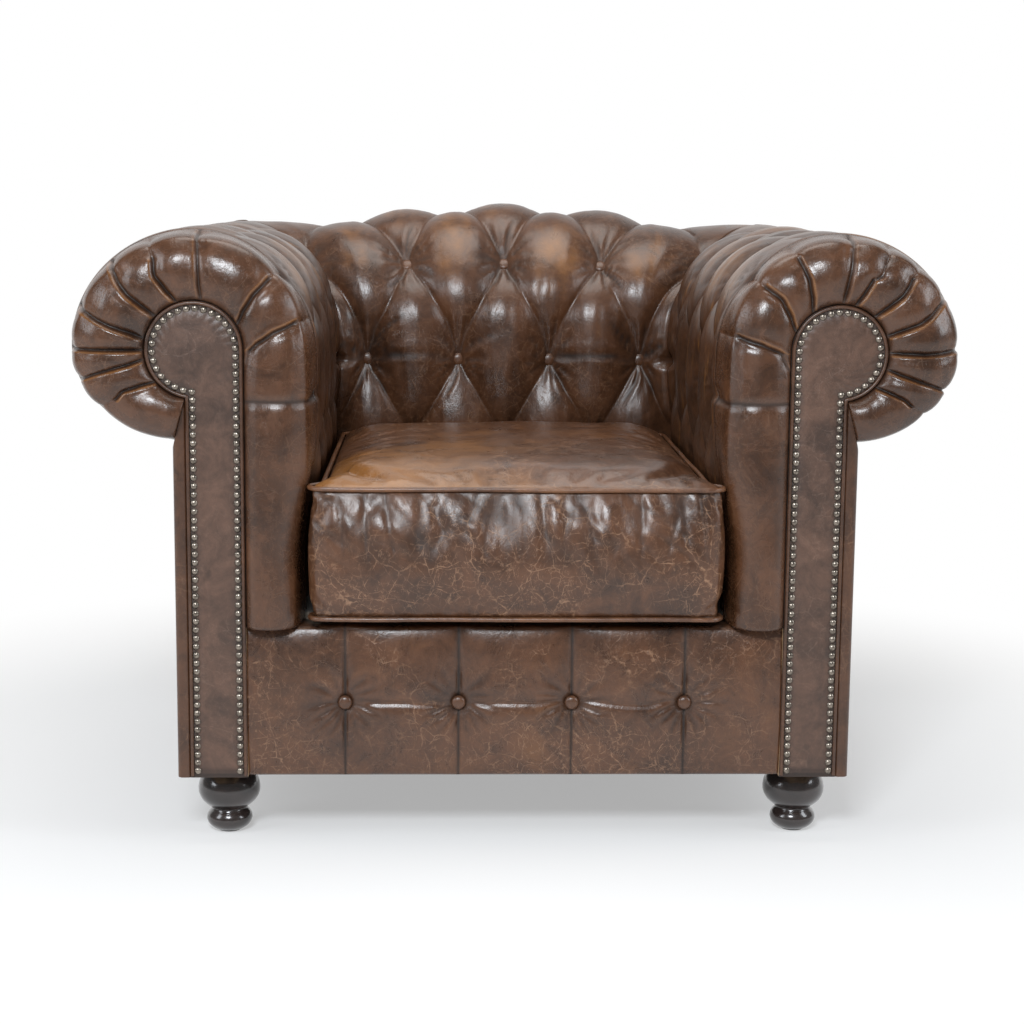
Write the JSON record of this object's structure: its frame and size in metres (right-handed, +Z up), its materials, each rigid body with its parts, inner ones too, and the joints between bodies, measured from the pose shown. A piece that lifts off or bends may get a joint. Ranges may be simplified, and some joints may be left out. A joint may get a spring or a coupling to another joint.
{
  "type": "chesterfield armchair",
  "caption": "Deep-buttoned leather armchair with high rolled arms and back of one height, nailed facings, loose boxed seat cushion and turned bun feet.",
  "frame": {"origin": "on the floor, under the middle of the chair's overall box", "axes": "+X to the viewer's right when facing the chair, +Y from the front towards the back, +Z up"},
  "size_m": [1.072, 0.88, 0.7763],
  "materials": {
    "hardwood": "planed, unfinished",
    "ply": "bent ply, unfinished",
    "foot_wood": "near-black espresso gloss",
    "steel": "zinc plated",
    "glide": "matte",
    "webbing": "woven jute",
    "hessian": "woven jute sheet",
    "stuffing": "felt and foam",
    "deck_cloth": "black lining cloth",
    "tufted_leather": "antique pull-up leather, semi-gloss",
    "panel_leather": "antique leather, satin",
    "cushion_leather": "antique pull-up leather, semi-gloss, fine pale scratches",
    "button_leather": "leather covered, semi-gloss",
    "nail_metal": "antique bronze, domed",
    "zip_cloth": "woven tape",
    "zip_metal": "antique"
  },
  "bodies": {
    "chair": {"left_front_post": "hardwood", "right_front_post": "hardwood", "left_rear_post": "hardwood", "right_rear_post": "hardwood", "side_seat_rails": "hardwood", "arm_tack_rails": "hardwood", "arm_top_rails": "hardwood", "front_seat_rail": "hardwood", "rear_seat_rail": "hardwood", "back_tack_rail": "hardwood", "back_top_rail": "hardwood", "back_uprights": "hardwood", "arm_uprights": "hardwood", "corner_blocks": "hardwood", "left_arm_roll_former": "ply", "right_arm_roll_former": "ply", "back_roll_former": "ply", "roll_ribs": "ply", "turned_feet": "foot_wood", "foot_bolts_and_nuts": "steel", "foot_glides": "glide", "seat_webbing": "webbing", "arm_webbing": "webbing", "back_webbing": "webbing", "seat_hessian": "hessian", "arm_hessians": "hessian", "back_hessian": "hessian", "left_arm_stuffing": "stuffing", "right_arm_stuffing": "stuffing", "back_stuffing": "stuffing", "front_rail_stuffing": "stuffing", "deck_felt": "stuffing", "deck_cloth": "deck_cloth", "dust_cover": "deck_cloth", "left_arm_inside_cover": "tufted_leather", "right_arm_inside_cover": "tufted_leather", "back_inside_cover": "tufted_leather", "left_front_border": "tufted_leather", "right_front_border": "tufted_leather", "front_rail_cover": "tufted_leather", "left_facing_panel": "panel_leather", "right_facing_panel": "panel_leather", "left_outside_cover": "panel_leather", "right_outside_cover": "panel_leather", "outside_back_cover": "panel_leather", "facing_welts": "panel_leather", "arm_buttons": "button_leather", "back_buttons": "button_leather", "front_rail_buttons": "button_leather", "facing_nails": "nail_metal"},
    "seat_cushion": {"cushion_cover": "cushion_leather", "cushion_foam": "stuffing", "cushion_lower_piping": "cushion_leather", "cushion_upper_piping": "cushion_leather", "zip_tape": "zip_cloth", "zip_chain": "zip_metal"},
    "zip_slider_body": {"zip_slider": "zip_metal"}
  },
  "joints": [
    {"name": "cushion_out", "type": "slide", "parent": "chair", "child": "seat_cushion", "axis": [0, -1, 0], "range_m": [0, 0.62]},
    {"name": "zip_slide", "type": "slide", "parent": "seat_cushion", "child": "zip_slider_body", "axis": [1, 0, 0], "range_m": [0, 0.344]}
  ]
}
